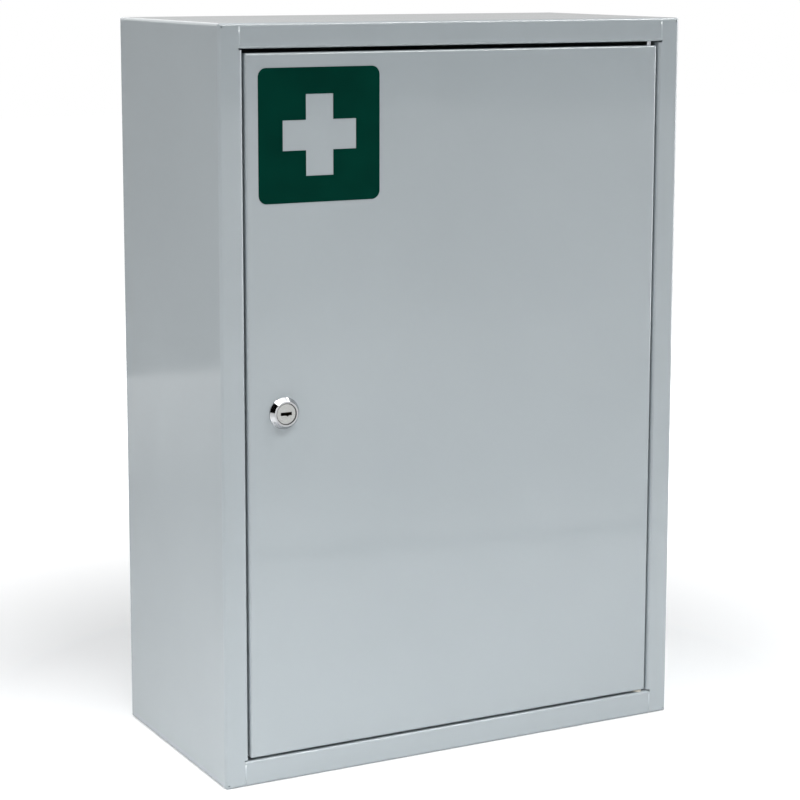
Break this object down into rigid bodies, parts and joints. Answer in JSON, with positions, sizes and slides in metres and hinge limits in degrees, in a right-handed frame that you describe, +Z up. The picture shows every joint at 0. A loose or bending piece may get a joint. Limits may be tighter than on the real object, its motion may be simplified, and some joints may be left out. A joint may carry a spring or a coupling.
{
  "type": "lockable medicine cabinet",
  "caption": "Upright sheet-steel wall cabinet with an inset hinged door, cam lock, shelves on slotted uprights and wall holes.",
  "frame": {"origin": "middle of the cabinet's underside, halfway between the side walls and between the front frame and the wall", "axes": "+X to the right seen from the front, -Y out of the front, +Y into the wall, +Z up"},
  "size_m": [0.4, 0.1996, 0.575],
  "materials": {
    "painted_sheet": "light grey stoved powder coat, smooth, semi-gloss",
    "zinc_steel": "bright zinc plate",
    "chrome": "polished chrome plate",
    "brass": "plain stamped brass",
    "nylon": "natural moulded nylon",
    "rubber": "black moulded rubber",
    "green_film": "dark green self-adhesive film"
  },
  "bodies": {
    "carcass": {"left_side_panel": "painted_sheet", "right_side_panel": "painted_sheet", "top_panel": "painted_sheet", "bottom_panel": "painted_sheet", "back_panel": "painted_sheet", "upper_hinge_gusset": "painted_sheet", "lower_hinge_gusset": "painted_sheet", "upper_hinge_bush": "nylon", "lower_hinge_bush": "nylon", "front_left_upright": "painted_sheet", "rear_left_upright": "painted_sheet", "front_right_upright": "painted_sheet", "rear_right_upright": "painted_sheet", "lower_shelf": "painted_sheet", "upper_shelf": "painted_sheet", "lower_shelf_clips": "zinc_steel", "upper_shelf_clips": "zinc_steel", "door_stop_brackets": "painted_sheet", "door_stop_buffers": "rubber"},
    "door": {"door_skin": "painted_sheet", "door_stiffener": "painted_sheet", "upper_pivot_plate": "zinc_steel", "lower_pivot_plate": "zinc_steel", "upper_pivot_pin": "zinc_steel", "lower_pivot_pin": "zinc_steel", "lock_housing": "chrome", "lock_tooth_washer": "zinc_steel", "lock_nut": "zinc_steel"},
    "lock": {"lock_plug": "chrome", "lock_wafers": "brass", "lock_stop_washer": "zinc_steel", "lock_cam": "zinc_steel", "cam_washer": "zinc_steel", "cam_screw": "zinc_steel"}
  },
  "joints": [
    {"name": "door_open", "type": "hinge", "parent": "carcass", "child": "door", "pos_m": [0.174, -0.0923, 0.2875], "axis": [0, 0, 1], "range_deg": [0, 105]},
    {"name": "lock_turn", "type": "hinge", "parent": "door", "child": "lock", "pos_m": [-0.1496, -0.0975, 0.286], "axis": [0, -1, 0], "range_deg": [0, 90]}
  ]
}
